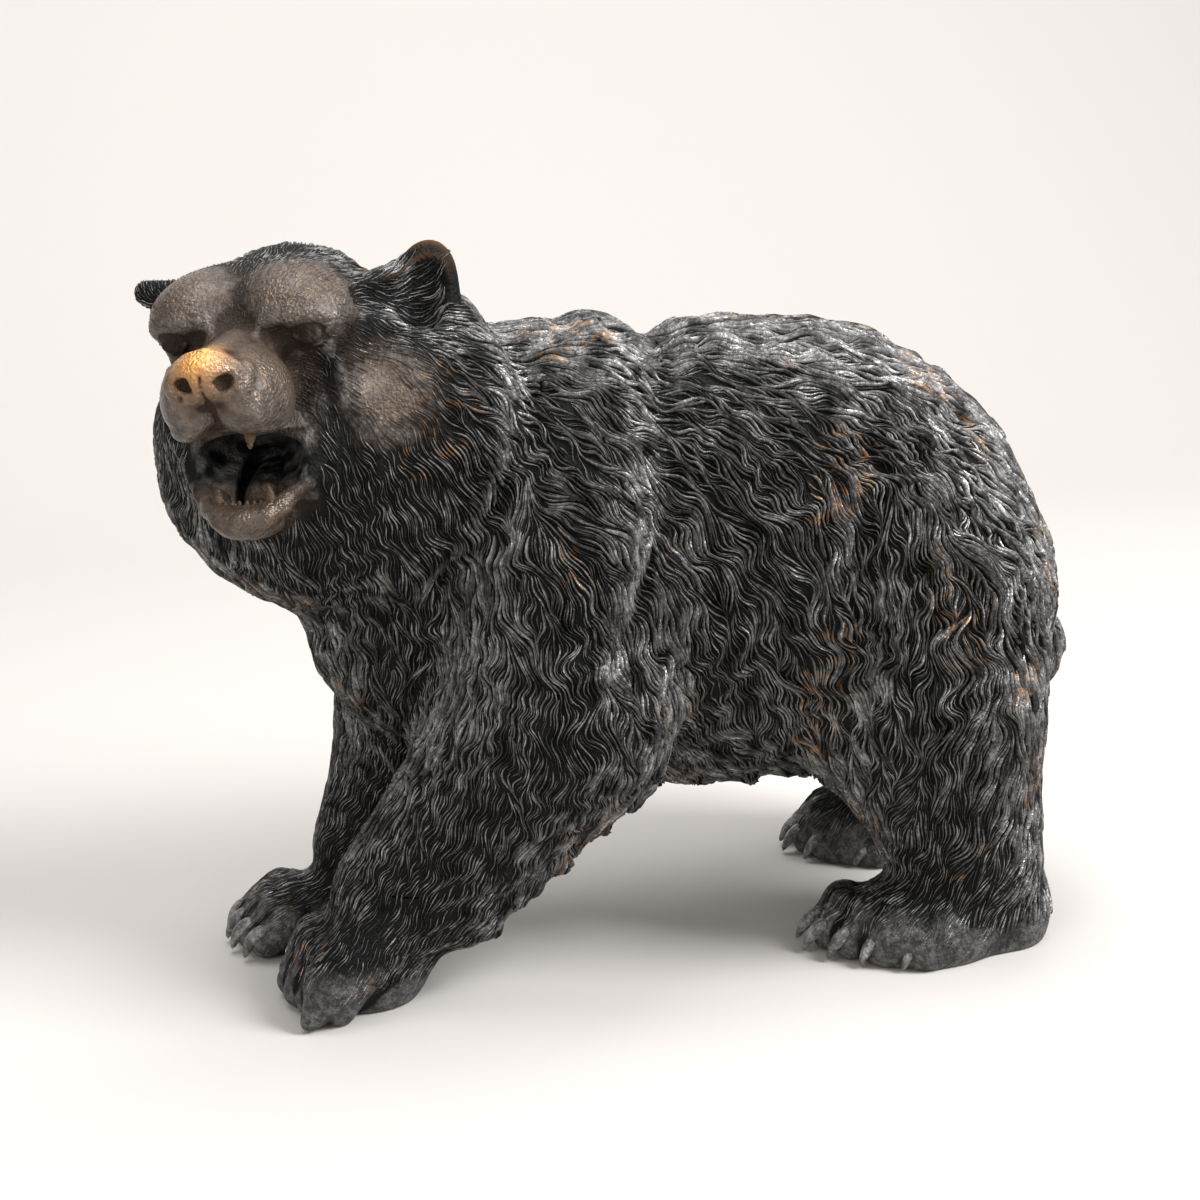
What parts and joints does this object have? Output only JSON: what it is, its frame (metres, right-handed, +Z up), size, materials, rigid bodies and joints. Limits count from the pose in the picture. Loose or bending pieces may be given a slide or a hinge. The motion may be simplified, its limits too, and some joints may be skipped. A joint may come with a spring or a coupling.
{
  "type": "bear sculpture",
  "caption": "Hollow cast bronze sculpture of a walking bear, its head turned to its left and its jaws open, with a shaggy coat of wavy locks.",
  "frame": {"origin": "on the ground, under the middle of the bounding box", "axes": "+Z up; the bear faces -X; its left flank, the near side in the picture, is at -Y"},
  "size_m": [0.4704, 0.2182, 0.3592],
  "materials": {
    "bronze": "cast bronze with a near-black brown patina, waxed to a satin sheen and rubbed to gold on the crests of the fur"
  },
  "bodies": {
    "root": {"bear": "bronze"}
  },
  "joints": []
}
